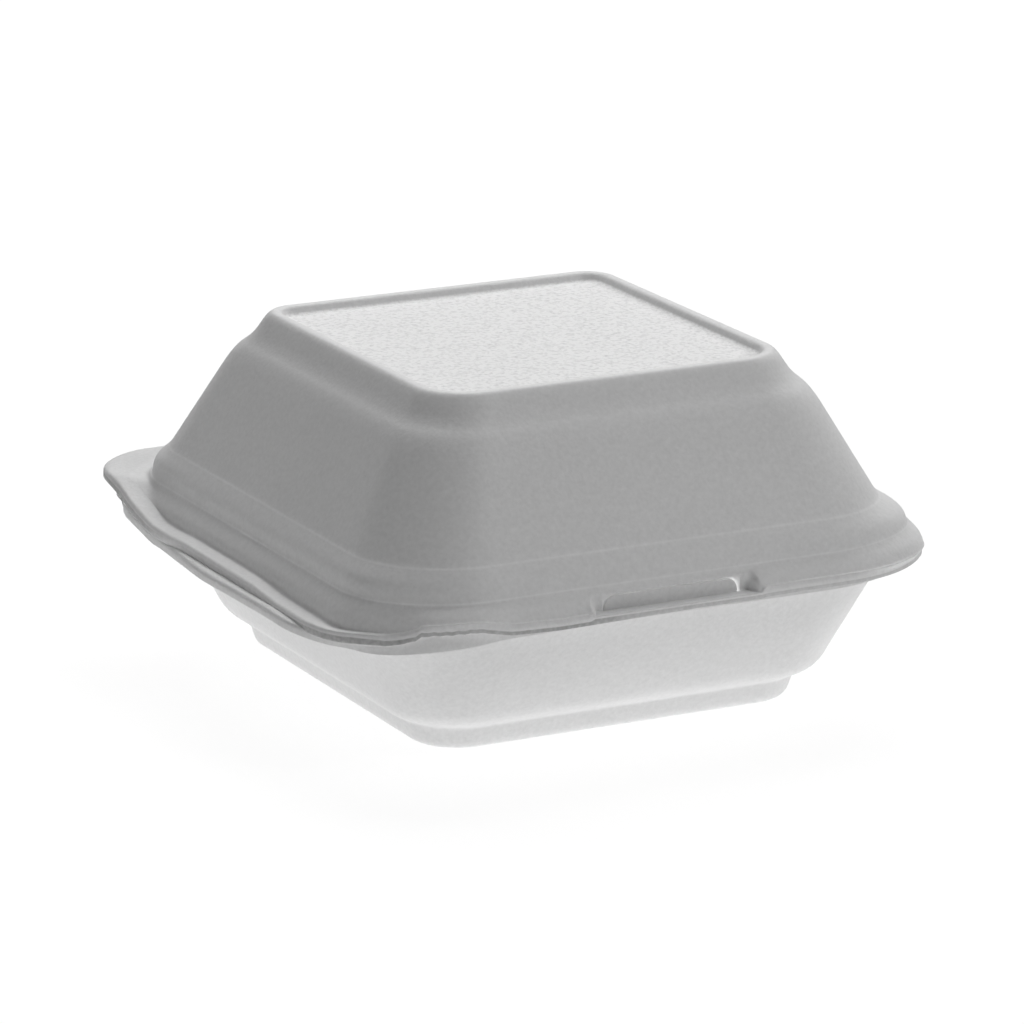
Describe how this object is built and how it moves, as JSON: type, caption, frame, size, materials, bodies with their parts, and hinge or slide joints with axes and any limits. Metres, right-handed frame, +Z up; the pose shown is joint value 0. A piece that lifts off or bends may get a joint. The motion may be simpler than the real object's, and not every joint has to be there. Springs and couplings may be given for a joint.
{
  "type": "foam clamshell food container",
  "caption": "Hinged foam clamshell box for a burger: beaded lid with a raised rim round a sunk top, dished tray with a foot, and a tongue-and-slot front latch.",
  "frame": {"origin": "middle of the box seen from above, on the surface that the tray's base rests on", "axes": "+Z up, +Y from the latch side towards the hinge, +X to the right as seen from the latch side"},
  "size_m": [0.149, 0.1516, 0.0784],
  "materials": {
    "foam": "matte, fine grain"
  },
  "bodies": {
    "tray": {"tray": "foam"},
    "lid": {"lid": "foam"}
  },
  "joints": [
    {"name": "lid_hinge", "type": "hinge", "parent": "tray", "child": "lid", "pos_m": [0, 0.07575, 0.03725], "axis": [-1, 0, 0], "range_deg": [0, 173]}
  ]
}
